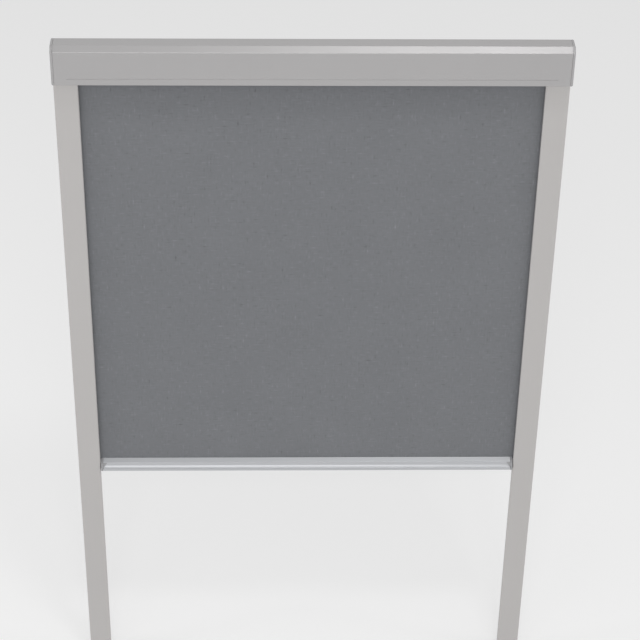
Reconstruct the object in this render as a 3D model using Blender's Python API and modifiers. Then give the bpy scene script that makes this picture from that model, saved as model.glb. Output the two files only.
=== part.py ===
"""A blackout roller blind for a roof window: a headbox with a spring roller, two side rails, a fabric that
runs in them, and a bottom bar with a brake at each end.

The blind stands upright: X runs across it, +Z up the slope and -Y towards the room. The origin is in the
plane of the headbox's back, midway across, at the height of the roller's axis. Lengths are in metres.
"""

from math import asin, cos, pi, radians, sin, sqrt, tan

import bmesh
import bpy
from mathutils import Matrix, Vector

for old in list(bpy.data.objects):
    bpy.data.objects.remove(old, do_unlink=True)

# The whole blind.
BLIND_WIDTH = 0.610  # between the two sides of the sash
RAIL_LENGTH = 0.925  # from the headbox down to the rails' ends
FABRIC_DROP = 0.5755  # from the headbox down to the bar, as it is drawn here

# Clearances.
FIT = 0.0003  # between pieces that seat on each other
RUNNING = 0.0006  # round pieces that slide or turn
OVERCUT = 0.001  # how far a cutter runs past the face it cuts
SINK = 0.0003  # how far a rib runs into the wall that carries it

# Fabric and roller.
FABRIC_THICKNESS = 0.00035
FABRIC_SETBACK = 0.007  # from the plane of the blind's back to the middle of the fabric
FABRIC_OVERLAP = 0.014  # how far each edge runs into its rail
TUBE_RADIUS = 0.0095
WOUND_DEPTH = 0.0022  # of the fabric that is still on the roller
TUBE_WALL = 0.001
TUBE_OVERHANG = 0.0035  # of the tube past the fabric
TUBE_KEY_WIDTH = 0.0042  # of the groove that runs along inside the tube
TUBE_KEY_DEPTH = 0.0021
SPLINE_RADIUS = 0.0008  # of the strip that locks the fabric in that groove
SPLINE_SLOT = 0.0022

# Headbox.
HEAD_WALL = 0.0013
ROOM_FRONT = 0.0032  # between the roll and the front wall
ROOM_ABOVE = 0.0092  # between the roll and the top wall
ROOM_BELOW = 0.0145  # between the roll and the lower edge
HEAD_CHAMFER = 0.0065
BACK_CHAMFER = 0.012  # where the headbox tucks under the sash
HEAD_FLANGE = 0.016  # how far the front wall returns underneath
HEAD_HOOK = 0.004  # the height of that flange's stiffened edge
HEAD_EDGE = 0.00035  # the rounding of the extrusion's edges
GROOVE_RISE = 0.0085  # from the lower edge to the shadow groove in the front
GROOVE_WIDTH = 0.0019
GROOVE_DEPTH = 0.0005
GROOVE_SHORT = 0.0145  # by which the groove stops before the end cap
SCREW_RADIUS = 0.0012
SCREW_LENGTH = 0.012
SCREW_HEAD_RADIUS = 0.0023
SCREW_HEAD = 0.0014
PORT_INSET = 0.0045  # of the screw ports from the outer faces
PORT_SHIFT = 0.0025  # of the upper port from the back chamfer

# End caps and brackets.
CAP_PLATE = 0.003
CAP_SETBACK = 0.0004  # of the caps from the sides of the sash
CAP_ROUND = 0.0016
CAP_RIM = 0.0015  # the thickness of the rim that plugs into the shell
CAP_RIM_REACH = 0.007
BOSS_RADIUS = 0.007
BOSS_REACH = 0.005
RIB_THICKNESS = 0.0012
SPIGOT_LENGTH = 0.014  # of the cap's tongue inside the rail
SPIGOT_ROOT = 0.007  # of the same tongue inside the headbox
BRACKET_THICKNESS = 0.0015
BRACKET_BEND = 0.0021  # the bend's outer radius
BRACKET_WIDTH = 0.020
BRACKET_FRONT = 0.027  # from the plane of the back to the bracket's front edge
BRACKET_LOW = 0.016  # below the roller's axis
BRACKET_HIGH = 0.012  # above it
BRACKET_TONGUE = 0.0075
BRACKET_HOLE = 0.002
BRACKET_HOLE_PITCH = 0.013

# Spring, shaft and plugs.
SHAFT_RADIUS = 0.0026
SHAFT_SQUARE = 0.004
WIRE_RADIUS = 0.0006
SPRING_TURNS = 24
SPRING_PITCH = 0.0036
HUB_WALL = 0.0009
HUB_LENGTH = 0.014
PLUG_LENGTH = 0.015
PLUG_FLANGE = 0.0014
PLUG_PROUD = 0.001  # of the plugs' flanges past the tube
IDLE_PIN_RADIUS = 0.0025
BUSH_WALL = 0.0014

# Rails.
RAIL_WALL = 0.0013
CHAMBER_WIDTH = 0.0074  # of the closed chamber along the sash
CHANNEL_WIDTH = 0.019  # of the channel that the fabric runs in
RAIL_LIP = 0.003  # the depth of the front wall's turned edge
RAIL_EDGE = 0.0007
RAIL_BROW = 0.0018  # the rounding of the edge along the fabric
BACK_SHORT = 0.0015  # by which the back wall stops before the lip
PILE_INSET = 0.0065  # of the pile strip's middle from the rail's inner edge
PILE_BASE = 0.0050  # the width of the strip's base
PILE_BASE_THICKNESS = 0.0007
PILE_WIDTH = 0.0024
HOOK_THICKNESS = 0.0008
HOLE_COUNT = 3
HOLE_INSET = 0.060
HOLE_RADIUS = 0.002
ACCESS_RADIUS = 0.004
RAIL_CAP_PLATE = 0.0025
RAIL_CAP_SPIGOT = 0.012
STOP_HEIGHT = 0.005
STOP_WIDTH = 0.008

# Bottom bar.
BAR_HEIGHT = 0.015
BAR_WALL = 0.0012
BAR_BACK = 0.0033  # from the fabric to the bar's back
BAR_FLANGE = 0.0066  # from the fabric to the front edge of the bar's top
BAR_FALL = 0.0008  # by which the top slopes to that edge
BAR_EDGE = 0.0024  # the height of that edge
BAR_REACH = 0.0105  # from the fabric to the bar's front
BAR_LIP = 0.0057  # the height of the lip below the grip
GRIP_SAG = 0.0015  # how far the grip is hollowed
GRIP_STEP = 0.0005  # by which the grip starts behind the edge above it
BAR_GAP = 0.0006  # between the bar and each rail
SLIT_WIDTH = 0.001
HEM_RADIUS = 0.0021  # of the round groove that holds the hem
HEM_ROOF = 0.0021  # from the bar's top to that groove
HEM_SPLINE_RADIUS = 0.0015
SEAL_BASE = 0.0044
SEAL_WIDTH = 0.0022
SEAL_BASE_THICKNESS = 0.0007
SEAL_PROUD = 0.0008
BAR_PLATE = 0.0025
BAR_SPIGOT = 0.014
GUSSET_TOP = 0.0055  # the width of the web that closes the grip's end, at its top
GUSSET_FOOT = 0.0015

# Tongues and brakes.
TONGUE_THICKNESS = 0.0039
TONGUE_TOP = 0.002  # below the bar's top
TONGUE_FOOT = 0.001  # above the bar's foot
SPRING_ROOM = 0.0008  # between the tongue and the brake pad
PAD_THICKNESS = 0.0012
PAD_LENGTH = 0.011
PAD_HEIGHT = 0.009
PAD_LEG = 0.0012
LEAF_THICKNESS = 0.00035
LEAF_WIDTH = 0.0036
POCKET_DEPTH = 0.0015

# What follows from the sizes above.
HALF_WIDTH = BLIND_WIDTH / 2
RAIL_WIDTH = 2 * RAIL_WALL + CHAMBER_WIDTH + CHANNEL_WIDTH
HALF_CLEAR = HALF_WIDTH - RAIL_WIDTH
FABRIC_Y = -FABRIC_SETBACK
ROLL_RADIUS = TUBE_RADIUS + FIT + WOUND_DEPTH
ROLLER_Y = FABRIC_Y - FABRIC_THICKNESS / 2 - FIT - ROLL_RADIUS
TONGUE_BACK_Y = FABRIC_Y - FABRIC_THICKNESS / 2 - RUNNING
TONGUE_FRONT_Y = TONGUE_BACK_Y - TONGUE_THICKNESS
PAD_FRONT_Y = TONGUE_FRONT_Y - SPRING_ROOM - PAD_THICKNESS
RAIL_DEPTH = -PAD_FRONT_Y + FIT + RAIL_WALL
HEAD_DEPTH = -ROLLER_Y + ROLL_RADIUS + ROOM_FRONT + HEAD_WALL
HEAD_RISE = ROLL_RADIUS + ROOM_ABOVE + HEAD_WALL
HEAD_FALL = ROLL_RADIUS + ROOM_BELOW
CAP_OUT = HALF_WIDTH - CAP_SETBACK
CAP_IN = CAP_OUT - CAP_PLATE
SHELL_HALF = CAP_IN - FIT
PORT_RADIUS = PORT_INSET - HEAD_WALL + SINK
ROLL_HALF = HALF_CLEAR + FABRIC_OVERLAP
TUBE_HALF = ROLL_HALF + TUBE_OVERHANG
TUBE_BORE = TUBE_RADIUS - TUBE_WALL
PLUG_END = TUBE_HALF + FIT + PLUG_FLANGE
PLUG_RADIUS = TUBE_RADIUS + PLUG_PROUD
RAIL_TOP = -HEAD_FALL - FIT
RAIL_FOOT = -HEAD_FALL - RAIL_LENGTH
BAR_TOP = -HEAD_FALL - FABRIC_DROP
BAR_FOOT = BAR_TOP - BAR_HEIGHT
HALF_BAR = HALF_CLEAR - BAR_GAP
HEM_Z = BAR_HEIGHT - HEM_ROOF - HEM_RADIUS
PORTS = {
    "upper": (-BACK_CHAMFER - PORT_SHIFT, HEAD_RISE - PORT_INSET),
    "lower": (-HEAD_DEPTH + PORT_INSET, -HEAD_FALL + PORT_INSET),
}
SIDES = {"left": -1, "right": 1}

# Local axes of pieces that are drawn flat and run along X, and of pieces drawn in the X-Z plane.
ALONG_X = Matrix(((0, 0, 1, 0), (1, 0, 0, 0), (0, 1, 0, 0), (0, 0, 0, 1)))
ALONG_Y = Matrix(((1, 0, 0, 0), (0, 0, -1, 0), (0, 1, 0, 0), (0, 0, 0, 1)))
ALONG_Z = Matrix.Identity(4)

parts = bpy.data.collections.new("roof_window_blind")
cutters = bpy.data.collections.new("cutters")
for group in (parts, cutters):
    bpy.context.scene.collection.children.link(group)


def finish(name, colour, roughness, metallic=0.0):
    material = bpy.data.materials.new(name)
    material.use_nodes = True
    shader = material.node_tree.nodes["Principled BSDF"]
    shader.inputs["Base Color"].default_value = (*colour, 1)
    shader.inputs["Roughness"].default_value = roughness
    shader.inputs["Metallic"].default_value = metallic
    return material


ANODISED = finish("anodised_aluminium", (0.45, 0.44, 0.44), 0.42, 0.45)
RAIL_FINISH = finish("rail_aluminium", (0.49, 0.475, 0.465), 0.45, 0.4)
BAR_FINISH = finish("bar_aluminium", (0.55, 0.56, 0.58), 0.36, 0.4)
CAP_PLASTIC = finish("grey_cap_plastic", (0.42, 0.42, 0.43), 0.5)
BAR_PLASTIC = finish("grey_bar_plastic", (0.20, 0.20, 0.21), 0.5)
INNER_PLASTIC = finish("white_plastic", (0.72, 0.72, 0.70), 0.45)
MILL = finish("mill_aluminium", (0.60, 0.60, 0.61), 0.4, 0.9)
STEEL = finish("zinc_steel", (0.50, 0.50, 0.50), 0.35, 0.9)
SPRING_STEEL = finish("spring_steel", (0.22, 0.22, 0.23), 0.35, 0.9)
PILE = finish("grey_pile", (0.10, 0.10, 0.105), 0.95)
PAD = finish("felt_pad", (0.06, 0.06, 0.062), 0.95)
CLOTH = finish("blackout_fabric", (0.19, 0.195, 0.205), 0.9)


def body(name, place):
    empty = bpy.data.objects.new(name, None)
    empty.location = place
    parts.objects.link(empty)
    return empty


ROOT = body("fixed_in_the_window", (0, 0, 0))
ROLLER = body("roller_axis", (0, ROLLER_Y, 0))
BAR = body("bar_slide", (0, FABRIC_Y, BAR_TOP))
bpy.context.view_layer.update()


def as_piece(obj, carrier, material):
    """Puts a finished object on the body that carries it and gives it its material."""
    obj.parent = carrier
    obj.matrix_parent_inverse = carrier.matrix_world.inverted()
    obj.data.materials.clear()
    obj.data.materials.append(material)
    return obj


def place_mesh(name, mesh, matrix):
    obj = bpy.data.objects.new(name, mesh)
    parts.objects.link(obj)
    obj.matrix_world = matrix
    return obj


def outward(bm):
    bmesh.ops.recalc_face_normals(bm, faces=bm.faces)


def spoke(start, end, share):
    """The arm that has turned by share of the way from start to end, both drawn from one centre."""
    turned_arm = start.normalized().slerp(end.normalized(), share)
    return turned_arm * (start.length + (end.length - start.length) * share)


def rounded(corners, steps=3):
    """The outline through corners (u, v) or (u, v, radius), each radius drawn as an arc."""
    outline = []
    for index, corner in enumerate(corners):
        here = Vector(corner[:2])
        if len(corner) < 3:
            outline.append(here)
            continue
        before = (Vector(corners[index - 1][:2]) - here).normalized()
        after = (Vector(corners[(index + 1) % len(corners)][:2]) - here).normalized()
        half = before.angle(after) / 2
        centre = here + (before + after).normalized() * corner[2] / sin(half)
        start = here + before * corner[2] / tan(half) - centre
        end = here + after * corner[2] / tan(half) - centre
        outline.extend(centre + spoke(start, end, step / steps) for step in range(steps + 1))
    return outline


def extrusion(name, outline, start, end, axes, offset=(0, 0, 0)):
    """A solid of this outline, drawn out from start to end along the third of its axes."""
    curve = bpy.data.curves.new(name, "CURVE")
    curve.dimensions = "2D"
    curve.fill_mode = "NONE"
    curve.extrude = abs(end - start) / 2
    spline = curve.splines.new("POLY")
    spline.points.add(len(outline) - 1)
    for point, corner in zip(spline.points, outline):
        point.co = (corner[0], corner[1], 0, 1)
    spline.use_cyclic_u = True
    drawn = bpy.data.objects.new(name, curve)
    parts.objects.link(drawn)
    bpy.context.view_layer.update()
    mesh = bpy.data.meshes.new_from_object(drawn.evaluated_get(bpy.context.evaluated_depsgraph_get()))
    bpy.data.objects.remove(drawn)
    bpy.data.curves.remove(curve)
    bm = bmesh.new()
    bm.from_mesh(mesh)
    bmesh.ops.remove_doubles(bm, verts=bm.verts, dist=1e-6)
    bmesh.ops.holes_fill(bm, edges=bm.edges, sides=0)
    outward(bm)
    bm.to_mesh(mesh)
    bm.free()
    mesh.shade_flat()
    middle = axes @ Vector((0, 0, (start + end) / 2))
    return place_mesh(name, mesh, Matrix.Translation(Vector(offset) + middle) @ axes)


def sheet(name, path, start, end, thickness, axes, inside):
    """A sheet bent along path and drawn out from start to end; inside is a point it is thickened towards."""
    bm = bmesh.new()
    rows = [[bm.verts.new((*point, reach)) for point in path] for reach in (start, end)]
    for near, far in zip(zip(rows[0], rows[0][1:]), zip(rows[1], rows[1][1:])):
        bm.faces.new((near[0], near[1], far[1], far[0]))
    bm.normal_update()
    face = bm.faces[:][0]
    if face.normal.dot(Vector((*inside, 0)) - face.calc_center_median()) > 0:
        bmesh.ops.reverse_faces(bm, faces=bm.faces)
    mesh = bpy.data.meshes.new(name)
    bm.to_mesh(mesh)
    bm.free()
    obj = place_mesh(name, mesh, axes)
    wall = obj.modifiers.new("wall", "SOLIDIFY")
    wall.thickness = thickness
    wall.offset = -1
    wall.use_even_offset = True
    return obj


def turned(name, profile, start=(0, 0, 0), steps=32, closed=True):
    """A piece turned about X from (radius, x) points that run down its outer side from its +X end."""
    mesh = bpy.data.meshes.new(name)
    count = len(profile)
    edges = [(index, (index + 1) % count) for index in range(count if closed else count - 1)]
    mesh.from_pydata([(radius, 0, reach) for radius, reach in profile], edges, [])
    obj = place_mesh(name, mesh, Matrix.Translation(start) @ ALONG_X)
    screw = obj.modifiers.new("turn", "SCREW")
    screw.steps = screw.render_steps = steps
    screw.use_merge_vertices = True
    screw.merge_threshold = 0.00001
    screw.use_smooth_shade = False
    return obj


def block(name, low, high, edge=0.0):
    """A box between two corners, with its edges rounded by edge."""
    low, high = Vector(map(min, low, high)), Vector(map(max, low, high))
    bm = bmesh.new()
    bmesh.ops.create_cube(bm, size=1, matrix=Matrix.LocRotScale((low + high) / 2, None, high - low))
    if edge:
        bmesh.ops.bevel(bm, geom=bm.edges, offset=edge, segments=2, profile=0.5, affect="EDGES")
    outward(bm)
    mesh = bpy.data.meshes.new(name)
    bm.to_mesh(mesh)
    bm.free()
    return place_mesh(name, mesh, Matrix.Identity(4))


def rod(name, start, end, radius, sides=24):
    """A round rod along X from start to end, at (x, y, z) points that differ in x alone."""
    start, end = Vector(start), Vector(end)
    bm = bmesh.new()
    bmesh.ops.create_cone(
        bm, cap_ends=True, segments=sides, radius1=radius, radius2=radius, depth=(end - start).length
    )
    mesh = bpy.data.meshes.new(name)
    bm.to_mesh(mesh)
    bm.free()
    return place_mesh(name, mesh, Matrix.Translation((start + end) / 2) @ ALONG_X)


def combine(piece, other, operation):
    """Adds other to piece, or cuts it out of it; other then stays behind as a guide."""
    change = piece.modifiers.new(other.name, "BOOLEAN")
    change.operation = operation
    change.solver = "EXACT"
    change.object = other
    other.hide_render = True
    other.display_type = "WIRE"
    parts.objects.unlink(other)
    cutters.objects.link(other)
    return piece


def add(piece, *others):
    for other in others:
        combine(piece, other, "UNION")
    return piece


def cut(piece, *others):
    for other in others:
        combine(piece, other, "DIFFERENCE")
    return piece


def break_edges(piece, width, segments=2):
    bevel = piece.modifiers.new("edges", "BEVEL")
    bevel.width = width
    bevel.segments = segments
    bevel.limit_method = "ANGLE"
    bevel.angle_limit = radians(30)
    return piece


def shade_round(piece):
    piece.data.shade_smooth()
    piece.data.set_sharp_from_angle(angle=radians(35))
    return piece


def head_path(inset):
    """The headbox's outline from its back edge over the top to its front edge, moved in by inset."""
    less = (2 - sqrt(2)) * inset
    tuck, corner = BACK_CHAMFER - less, HEAD_CHAMFER - less
    back, front, top = -inset, -HEAD_DEPTH + inset, HEAD_RISE - inset
    return [(back, top - tuck), (back - tuck, top), (front + corner, top), (front, top - corner)]


# Headbox shell: one extrusion, open below, with a return flange, a shadow groove and two screw ports.
over_top = head_path(0)
shell = sheet(
    "headbox_shell",
    [
        (0, -HEAD_FALL),
        *over_top,
        (-HEAD_DEPTH, -HEAD_FALL),
        (-HEAD_DEPTH + HEAD_FLANGE, -HEAD_FALL),
        (-HEAD_DEPTH + HEAD_FLANGE, -HEAD_FALL + HEAD_HOOK),
    ],
    -SHELL_HALF,
    SHELL_HALF,
    HEAD_WALL,
    ALONG_X,
    inside=(ROLLER_Y, 0),
)
break_edges(shell, HEAD_EDGE)
for level, (port_y, port_z) in PORTS.items():
    add(
        shell,
        rod(f"port_{level}", (-SHELL_HALF, port_y, port_z), (SHELL_HALF, port_y, port_z), PORT_RADIUS, 16),
    )
for level, (port_y, port_z) in PORTS.items():
    reach = SHELL_HALF + OVERCUT
    cut(
        shell,
        rod(f"port_bore_{level}", (-reach, port_y, port_z), (reach, port_y, port_z), SCREW_RADIUS + FIT, 12),
    )
groove_z = -HEAD_FALL + GROOVE_RISE
cut(
    shell,
    block(
        "shadow_groove",
        (-SHELL_HALF + GROOVE_SHORT, -HEAD_DEPTH - OVERCUT, groove_z - GROOVE_WIDTH / 2),
        (SHELL_HALF - GROOVE_SHORT, -HEAD_DEPTH + GROOVE_DEPTH, groove_z + GROOVE_WIDTH / 2),
    ),
)
as_piece(shell, ROOT, ANODISED)

# End caps: a plate with a rounded outer edge, a rim that plugs into the shell, a boss for the roller and a
# tongue that holds the rail's top.
hub_radius = SHAFT_RADIUS + FIT + HUB_WALL
spring_radius = hub_radius + FIT + WIRE_RADIUS
bush_radius = IDLE_PIN_RADIUS + FIT + BUSH_WALL
bracket_in = HALF_WIDTH - BRACKET_THICKNESS - FIT


def end_cap(side_name, side):
    def across(reach):
        return side * reach

    outline = [(0, -HEAD_FALL), *head_path(0), (-HEAD_DEPTH, -HEAD_FALL)]
    plate = extrusion(f"end_cap_{side_name}", outline, across(CAP_IN), across(CAP_OUT), ALONG_X)
    bm = bmesh.new()
    bm.from_mesh(plate.data)
    outer = side * CAP_PLATE / 2
    rim = [
        edge
        for edge in bm.edges
        if all(abs(vert.co.z - outer) < 1e-6 for vert in edge.verts)
        and any(abs(face.normal.z) < 0.5 for face in edge.link_faces)
    ]
    bmesh.ops.bevel(bm, geom=rim, offset=CAP_ROUND, segments=3, profile=0.5, affect="EDGES")
    bm.to_mesh(plate.data)
    bm.free()

    inset = HEAD_WALL + FIT
    rim_end = PORTS["lower"][1] + PORT_RADIUS + FIT
    plug_path = [(-inset, rim_end), *head_path(inset), (-HEAD_DEPTH + inset, rim_end)]
    plug = sheet(
        f"cap_rim_{side_name}",
        plug_path,
        across(CAP_IN + SINK),
        across(CAP_IN - CAP_RIM_REACH),
        CAP_RIM,
        ALONG_X,
        inside=(ROLLER_Y, 0),
    )
    port_y, port_z = PORTS["upper"]
    room = PORT_RADIUS + FIT
    cut(
        plug,
        block(
            f"port_room_{side_name}",
            (across(CAP_IN), port_y - room, port_z - room),
            (across(CAP_IN - CAP_RIM_REACH - OVERCUT), port_y + room, HEAD_RISE),
        ),
    )
    rail_front, rail_back = -RAIL_DEPTH + RAIL_WALL + FIT, -RAIL_WALL - FIT
    spigot = block(
        f"rail_spigot_{side_name}",
        (across(HALF_WIDTH - RAIL_WALL - FIT), rail_front, -HEAD_FALL - SPIGOT_LENGTH),
        (across(HALF_WIDTH - RAIL_WALL - CHAMBER_WIDTH + FIT), rail_back, -HEAD_FALL + SPIGOT_ROOT),
        edge=0.0005,
    )
    boss = rod(
        f"cap_boss_{side_name}",
        (across(CAP_IN - BOSS_REACH), ROLLER_Y, 0),
        (across(CAP_IN + SINK), ROLLER_Y, 0),
        BOSS_RADIUS,
    )
    ribs = block(
        f"cap_ribs_{side_name}",
        (across(CAP_IN + SINK), -inset - CAP_RIM / 2, -RIB_THICKNESS / 2),
        (across(CAP_IN - BOSS_REACH + RIB_THICKNESS), -HEAD_DEPTH + inset + CAP_RIM / 2, RIB_THICKNESS / 2),
    )
    add(plate, plug, spigot, boss, ribs)

    # The recess and the slot that take the bracket.
    bracket_back = -BRACKET_FRONT + BRACKET_WIDTH
    cut(
        plate,
        block(
            f"bracket_recess_{side_name}",
            (across(CAP_OUT + OVERCUT), bracket_back + FIT, -BRACKET_LOW - FIT),
            (across(bracket_in), -BRACKET_FRONT - FIT, BRACKET_HIGH + FIT),
        ),
        block(
            f"tongue_slot_{side_name}",
            (across(CAP_OUT), bracket_back + FIT, BRACKET_HIGH - BRACKET_THICKNESS - FIT),
            (across(CAP_IN - OVERCUT), -BRACKET_FRONT - FIT, BRACKET_HIGH + FIT),
        ),
    )
    for level, (port_y, port_z) in PORTS.items():
        cut(
            plate,
            rod(
                f"screw_hole_{side_name}_{level}",
                (across(CAP_IN - OVERCUT), port_y, port_z),
                (across(CAP_OUT + OVERCUT), port_y, port_z),
                SCREW_RADIUS + FIT,
                16,
            ),
            rod(
                f"screw_seat_{side_name}_{level}",
                (across(CAP_OUT - SCREW_HEAD - FIT), port_y, port_z),
                (across(CAP_OUT + OVERCUT), port_y, port_z),
                SCREW_HEAD_RADIUS + FIT,
                16,
            ),
        )
    inner_end, depth = CAP_IN - BOSS_REACH - OVERCUT, CAP_IN
    if side < 0:
        half = SHAFT_SQUARE / 2 + FIT
        socket = block(
            "shaft_socket", (across(inner_end), ROLLER_Y - half, -half), (across(depth), ROLLER_Y + half, half)
        )
    else:
        socket = rod(
            "bush_seat", (across(inner_end), ROLLER_Y, 0), (across(depth), ROLLER_Y, 0), bush_radius + FIT
        )
    cut(plate, socket)
    as_piece(plate, ROOT, CAP_PLASTIC)


def cap_screw(side_name, side, level):
    port_y, port_z = PORTS[level]
    head_top, head_foot = CAP_OUT - FIT, CAP_OUT - FIT - SCREW_HEAD + FIT
    tip = CAP_OUT - SCREW_HEAD - SCREW_LENGTH
    profile = [
        (0, head_top),
        (SCREW_HEAD_RADIUS * 0.7, head_top),
        (SCREW_HEAD_RADIUS, head_top - SCREW_HEAD / 2),
        (SCREW_HEAD_RADIUS, head_foot),
        (SCREW_RADIUS, head_foot),
        (SCREW_RADIUS, tip + SCREW_RADIUS),
        (SCREW_RADIUS / 3, tip),
        (0, tip),
    ]
    if side < 0:
        profile = [(radius, -reach) for radius, reach in reversed(profile)]
    name = f"cap_screw_{side_name}_{level}"
    screw = turned(name, profile, (0, port_y, port_z), steps=14, closed=False)
    as_piece(screw, ROOT, STEEL)


def bracket(side_name, side):
    """A bent plate on the side of the sash; its tongue carries the headbox."""
    path = rounded(
        [
            (0, -BRACKET_LOW),
            (0, BRACKET_HIGH, BRACKET_BEND),
            (-BRACKET_THICKNESS - BRACKET_TONGUE, BRACKET_HIGH),
        ]
    )
    path = [(side * (HALF_WIDTH + u), v) for u, v in path]
    plate = sheet(
        f"bracket_{side_name}",
        path,
        BRACKET_FRONT - BRACKET_WIDTH,
        BRACKET_FRONT,
        BRACKET_THICKNESS,
        ALONG_Y,
        inside=(side * (HALF_WIDTH - BRACKET_TONGUE), -BRACKET_LOW),
    )
    middle = -BRACKET_FRONT + BRACKET_WIDTH / 2
    hole_middle = (BRACKET_HIGH - BRACKET_BEND - BRACKET_LOW) / 2
    for index, step in enumerate((-0.5, 0.5)):
        hole_z = hole_middle + step * BRACKET_HOLE_PITCH
        out, inner = HALF_WIDTH + OVERCUT, HALF_WIDTH - BRACKET_THICKNESS - OVERCUT
        countersink = BRACKET_HOLE + BRACKET_THICKNESS + OVERCUT
        profile = [
            (0, out),
            (BRACKET_HOLE, out),
            (BRACKET_HOLE, HALF_WIDTH - BRACKET_THICKNESS / 3),
            (countersink, inner),
            (0, inner),
        ]
        if side < 0:
            profile = [(radius, -reach) for radius, reach in reversed(profile)]
        hole = turned(f"bracket_hole_{side_name}_{index}", profile, (0, middle, hole_z), 16, closed=False)
        cut(plate, hole)
    as_piece(plate, ROOT, STEEL)


for side_name, side in SIDES.items():
    end_cap(side_name, side)
    bracket(side_name, side)
    for level in PORTS:
        cap_screw(side_name, side, level)

# Spring side, on the left: a shaft that stands still, the plug that turns on it with the tube, the spring
# between them, and the hub on the shaft's inner end that holds the spring.
axis_y = ROLLER_Y
boss_end = CAP_IN - BOSS_REACH
hub_start = TUBE_HALF + FIT - PLUG_LENGTH
spring_length = SPRING_TURNS * SPRING_PITCH
spring_start = hub_start - WIRE_RADIUS - FIT
spring_end = spring_start - spring_length
anchor_flange = spring_end - WIRE_RADIUS - FIT
shaft_tip = anchor_flange - PLUG_FLANGE - FIT
anchor_radius = TUBE_BORE - TUBE_KEY_DEPTH - RUNNING

shoulder_x = -boss_end + FIT
square = SHAFT_SQUARE / 2
shaft = rod("spring_shaft", (shoulder_x, axis_y, 0), (-shaft_tip, axis_y, 0), SHAFT_RADIUS, 20)
add(
    shaft,
    block("shaft_square", (-CAP_IN + FIT, axis_y - square, -square), (shoulder_x + SINK, axis_y + square, square)),
)
as_piece(shade_round(shaft), ROOT, STEEL)

anchor = turned(
    "spring_anchor",
    [
        (hub_radius, -anchor_flange),
        (hub_radius, -anchor_flange - HUB_LENGTH / 2),
        (SHAFT_RADIUS + FIT, -anchor_flange - HUB_LENGTH / 2),
        (SHAFT_RADIUS + FIT, -shaft_tip),
        (anchor_radius, -shaft_tip),
        (anchor_radius, -anchor_flange),
    ],
    (0, axis_y, 0),
    24,
)
as_piece(shade_round(anchor), ROOT, INNER_PLASTIC)

coil = bpy.data.curves.new("torsion_spring", "CURVE")
coil.dimensions = "3D"
coil.bevel_depth = WIRE_RADIUS
coil.bevel_resolution = 1
coil.use_fill_caps = True
POINTS_PER_TURN = 9
wire = coil.splines.new("POLY")
wire.points.add(SPRING_TURNS * POINTS_PER_TURN)
for index, point in enumerate(wire.points):
    turn = index / POINTS_PER_TURN
    angle = 2 * pi * turn
    reach = -spring_start + turn * SPRING_PITCH
    radius = spring_radius / cos(pi / POINTS_PER_TURN)
    point.co = (reach, axis_y + radius * cos(angle), radius * sin(angle), 1)
spring = bpy.data.objects.new("torsion_spring", coil)
parts.objects.link(spring)
as_piece(spring, ROOT, SPRING_STEEL)

plug_bore = SHAFT_RADIUS + FIT
spring_plug = turned(
    "spring_plug",
    [
        (PLUG_RADIUS, -TUBE_HALF - FIT),
        (PLUG_RADIUS, -PLUG_END),
        (plug_bore, -PLUG_END),
        (plug_bore, -hub_start + HUB_LENGTH),
        (hub_radius, -hub_start + HUB_LENGTH),
        (hub_radius, -hub_start),
        (TUBE_BORE - FIT, -hub_start),
        (TUBE_BORE - FIT, -TUBE_HALF - FIT),
    ],
    (0, axis_y, 0),
    32,
)


def keyway(side_name, start, end):
    """Room in a plug for the groove that runs along inside the tube."""
    return block(
        f"keyway_{side_name}",
        (start, axis_y - TUBE_KEY_WIDTH / 2 - FIT, -TUBE_RADIUS - OVERCUT),
        (end, axis_y + TUBE_KEY_WIDTH / 2 + FIT, -TUBE_BORE + TUBE_KEY_DEPTH + FIT),
    )


cut(spring_plug, keyway("left", -TUBE_HALF - FIT, -hub_start + OVERCUT))
as_piece(spring_plug, ROLLER, INNER_PLASTIC)

# Idle side, on the right: a pin in the tube's plug turns in a bush in the cap.
idle_plug = turned(
    "idle_plug",
    [
        (PLUG_RADIUS, PLUG_END),
        (PLUG_RADIUS, TUBE_HALF + FIT),
        (TUBE_BORE - FIT, TUBE_HALF + FIT),
        (TUBE_BORE - FIT, hub_start),
        (IDLE_PIN_RADIUS + FIT, hub_start),
        (IDLE_PIN_RADIUS + FIT, PLUG_END),
    ],
    (0, axis_y, 0),
    32,
)
cut(idle_plug, keyway("right", TUBE_HALF + FIT, hub_start - OVERCUT))
as_piece(idle_plug, ROLLER, INNER_PLASTIC)

pin = rod("idle_pin", (hub_start, axis_y, 0), (CAP_IN - RUNNING, axis_y, 0), IDLE_PIN_RADIUS, 24)
as_piece(shade_round(break_edges(pin, IDLE_PIN_RADIUS / 6)), ROLLER, STEEL)

bush = turned(
    "idle_bush",
    [
        (bush_radius, CAP_IN - FIT),
        (bush_radius, boss_end),
        (IDLE_PIN_RADIUS + FIT, boss_end),
        (IDLE_PIN_RADIUS + FIT, CAP_IN - FIT),
    ],
    (0, axis_y, 0),
    28,
)
as_piece(shade_round(bush), ROOT, INNER_PLASTIC)

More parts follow.
